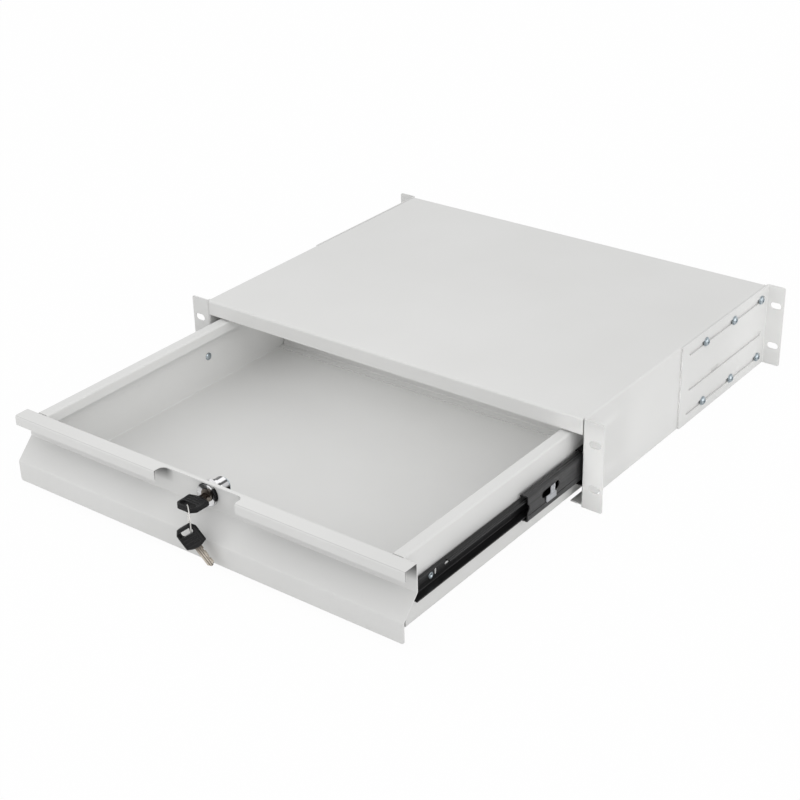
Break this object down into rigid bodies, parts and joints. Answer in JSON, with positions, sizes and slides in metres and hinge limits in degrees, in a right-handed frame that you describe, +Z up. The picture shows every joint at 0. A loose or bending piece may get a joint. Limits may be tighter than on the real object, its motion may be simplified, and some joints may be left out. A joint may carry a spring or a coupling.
{
  "type": "sliding rack drawer",
  "caption": "Lockable two-unit rack drawer of folded sheet steel on telescopic ball slides, in a housing with front ears and depth-adjustable rear brackets.",
  "frame": {"origin": "centre of the pattern of four front ear slots, on the ears' rear face that lies against the rack", "axes": "+X to the right seen from the front, +Y to the rear of the rack, +Z up; the drawer is modelled 239 mm open"},
  "size_m": [0.4826, 0.6301, 0.0882],
  "materials": {
    "powder_coat": "light grey powder coat, satin",
    "dark_steel": "black zinc plated steel, semi-gloss",
    "zinc": "bright zinc plating",
    "ball_steel": "polished steel",
    "lock_chrome": "polished chrome plating",
    "key_plastic": "black moulded plastic, satin",
    "key_metal": "nickel silver, slightly worn",
    "ring_steel": "bright steel wire"
  },
  "bodies": {
    "housing": {"housing_cover": "powder_coat", "slide_housing_member_left": "dark_steel", "slide_housing_member_right": "dark_steel", "bracket_press_nuts_left": "zinc", "bracket_press_nuts_right": "zinc", "bracket_screws_left": "zinc", "bracket_screws_right": "zinc"},
    "drawer": {"drawer_tray": "powder_coat", "tray_rear_wall": "powder_coat", "front_panel": "powder_coat", "drawer_slide_rivets": "zinc", "lock_barrel": "lock_chrome", "lock_nut": "lock_chrome", "slide_drawer_member_left": "dark_steel", "slide_drawer_member_right": "dark_steel"},
    "rear_bracket_left": {"rear_bracket_left": "powder_coat"},
    "middle_member_left": {"slide_middle_member_left": "dark_steel"},
    "catch_left": {"slide_catch_left": "zinc"},
    "outer_cage_left": {"outer_ball_cage_left": "zinc", "outer_balls_left": "ball_steel"},
    "inner_cage_left": {"inner_ball_cage_left": "zinc", "inner_balls_left": "ball_steel"},
    "rear_bracket_right": {"rear_bracket_right": "powder_coat"},
    "middle_member_right": {"slide_middle_member_right": "dark_steel"},
    "catch_right": {"slide_catch_right": "zinc"},
    "outer_cage_right": {"outer_ball_cage_right": "zinc", "outer_balls_right": "ball_steel"},
    "inner_cage_right": {"inner_ball_cage_right": "zinc", "inner_balls_right": "ball_steel"},
    "lock": {"lock_plug": "lock_chrome", "lock_cam": "zinc", "cam_screw": "zinc"},
    "key_one": {"key_one_bow": "key_plastic", "key_one_blade": "key_metal"},
    "key_ring": {"key_ring": "ring_steel"},
    "key_two": {"key_two_bow": "key_plastic", "key_two_blade": "key_metal"}
  },
  "joints": [
    {"name": "drawer_slide", "type": "slide", "parent": "housing", "child": "drawer", "axis": [0, -1, 0], "range_m": [-0.239, 0.061]},
    {"name": "middle_slide_left", "type": "slide", "parent": "housing", "child": "middle_member_left", "axis": [0, -1, 0], "range_m": [-0.0852, 0.0219]},
    {"name": "outer_cage_slide_left", "type": "slide", "parent": "housing", "child": "outer_cage_left", "axis": [0, -1, 0], "range_m": [-0.0427, 0.01105]},
    {"name": "inner_cage_slide_left", "type": "slide", "parent": "housing", "child": "inner_cage_left", "axis": [0, -1, 0], "range_m": [-0.1622, 0.04155]},
    {"name": "catch_tilt_left", "type": "hinge", "parent": "middle_member_left", "child": "catch_left", "pos_m": [-0.2164, -0.0455, -0.01045], "axis": [1, 0, 0], "range_deg": [0, 8], "stiffness_Nm_per_rad": 0.002},
    {"name": "bracket_adjust_left", "type": "slide", "parent": "housing", "child": "rear_bracket_left", "axis": [0, 1, 0], "range_m": [-0.005, 0.03]},
    {"name": "middle_slide_right", "type": "slide", "parent": "housing", "child": "middle_member_right", "axis": [0, -1, 0], "range_m": [-0.0852, 0.0219]},
    {"name": "outer_cage_slide_right", "type": "slide", "parent": "housing", "child": "outer_cage_right", "axis": [0, -1, 0], "range_m": [-0.0427, 0.01105]},
    {"name": "inner_cage_slide_right", "type": "slide", "parent": "housing", "child": "inner_cage_right", "axis": [0, -1, 0], "range_m": [-0.1622, 0.04155]},
    {"name": "catch_tilt_right", "type": "hinge", "parent": "middle_member_right", "child": "catch_right", "pos_m": [0.2164, -0.0455, -0.01045], "axis": [1, 0, 0], "range_deg": [0, 8], "stiffness_Nm_per_rad": 0.002},
    {"name": "bracket_adjust_right", "type": "slide", "parent": "housing", "child": "rear_bracket_right", "axis": [0, 1, 0], "range_m": [-0.005, 0.03]},
    {"name": "lock_turn", "type": "hinge", "parent": "drawer", "child": "lock", "pos_m": [0.0025, -0.2424, 0.01345], "axis": [0, 1, 0], "range_deg": [0, 180]},
    {"name": "key_pull", "type": "slide", "parent": "lock", "child": "key_one", "axis": [0, -1, 0], "range_m": [0, 0.024]},
    {"name": "ring_swing", "type": "hinge", "parent": "key_one", "child": "key_ring", "pos_m": [0.0073, -0.2723, 0.0175], "axis": [0.6428, 0.766, 0], "range_deg": [-3, 1]},
    {"name": "key_two_swing", "type": "hinge", "parent": "key_ring", "child": "key_two", "pos_m": [0.0073, -0.2723, -0.0053], "axis": [-0.2419, 0.9703, 0], "range_deg": [-6, 6]}
  ],
  "couplings": [
    {"joint": "middle_slide_left", "follows": "drawer_slide", "ratio": 0.35565},
    {"joint": "outer_cage_slide_left", "follows": "drawer_slide", "ratio": 0.17782},
    {"joint": "inner_cage_slide_left", "follows": "drawer_slide", "ratio": 0.67783},
    {"joint": "middle_slide_right", "follows": "drawer_slide", "ratio": 0.35565},
    {"joint": "outer_cage_slide_right", "follows": "drawer_slide", "ratio": 0.17782},
    {"joint": "inner_cage_slide_right", "follows": "drawer_slide", "ratio": 0.67783}
  ]
}
